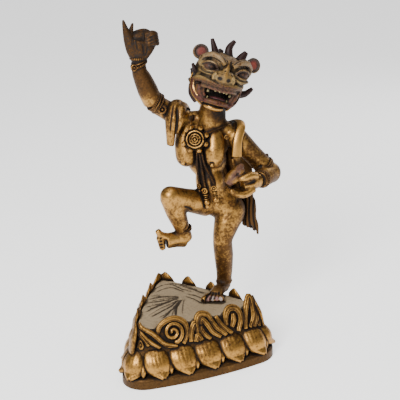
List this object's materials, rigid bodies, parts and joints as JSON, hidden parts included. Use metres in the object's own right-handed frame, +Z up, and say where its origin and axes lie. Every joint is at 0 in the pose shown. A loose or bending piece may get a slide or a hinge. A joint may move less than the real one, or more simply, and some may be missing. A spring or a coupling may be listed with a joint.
{
  "type": "dancing dakini statue",
  "caption": "Lion-faced dakini dancing on one leg, an arm raised, on a three-cornered lotus base with scrollwork, in gilt bronze.",
  "frame": {"origin": "on the underside, at the middle of the three-cornered base", "axes": "+Z up the figure, -Y the side that the scrolled front of the base faces, +X to the right of someone looking at that front"},
  "size_m": [0.1721, 0.1377, 0.3089],
  "materials": {
    "gilt_bronze": "worn gilding over dark brown bronze, the face cold-painted",
    "base_gilt_bronze": "worn gilding on the petals and scrolls, dull grey-brown on top"
  },
  "bodies": {
    "root": {"simhamukha_figure": "gilt_bronze", "lotus_base": "base_gilt_bronze"}
  },
  "joints": []
}
